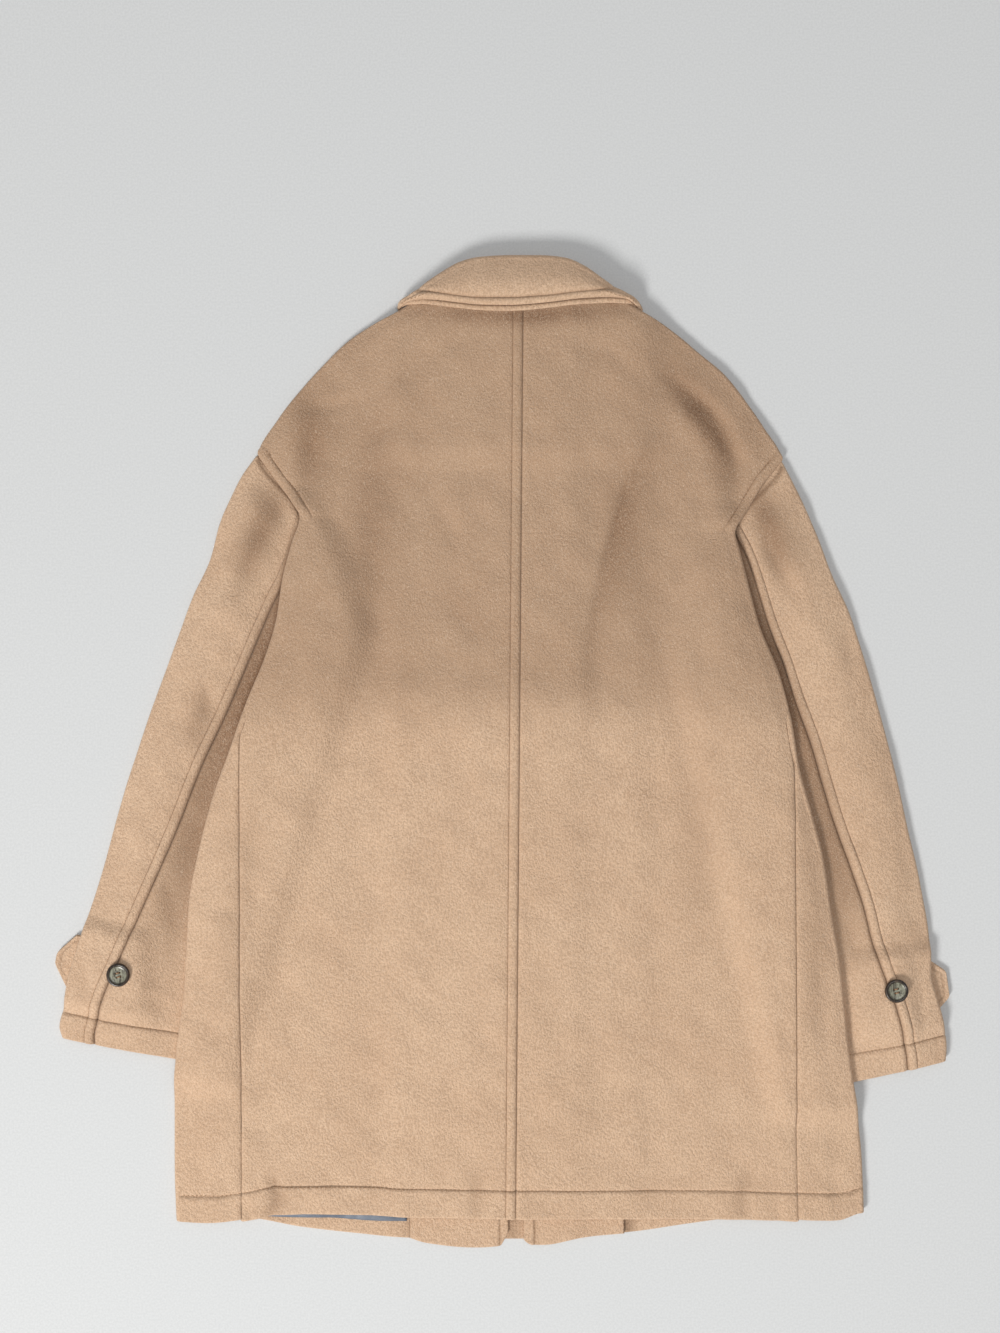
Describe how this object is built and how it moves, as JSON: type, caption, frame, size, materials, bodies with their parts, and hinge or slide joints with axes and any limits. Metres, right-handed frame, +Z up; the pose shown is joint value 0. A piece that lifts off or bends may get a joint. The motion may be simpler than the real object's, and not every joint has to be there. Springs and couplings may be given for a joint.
{
  "type": "wool car coat, laid flat on its front",
  "caption": "Camel wool car coat lying face down: back up, turned-down collar at the top, both sleeves with buttoned tabs down beside the body.",
  "frame": {"origin": "centre of the garment's footprint, on the floor it lies on", "axes": "+Z up out of the floor, +Y from the hem to the collar, +X towards the wearer's right sleeve"},
  "size_m": [0.8559, 0.941, 0.0242],
  "materials": {
    "wool": "matte",
    "lining": "satin",
    "horn": "gloss"
  },
  "bodies": {
    "root": {"front_left": "wool", "front_right": "wool", "back_left": "wool", "back_right": "wool", "facing_left": "wool", "facing_right": "wool", "sleeve_top_left": "wool", "sleeve_top_right": "wool", "sleeve_under_left": "wool", "sleeve_under_right": "wool", "collar_upper": "wool", "collar_under": "wool", "collar_end_left": "wool", "collar_end_right": "wool", "cuff_tab_left": "wool", "cuff_tab_right": "wool", "lining_left": "lining", "cuff_button_left": "horn", "cuff_button_right": "horn"}
  },
  "joints": []
}
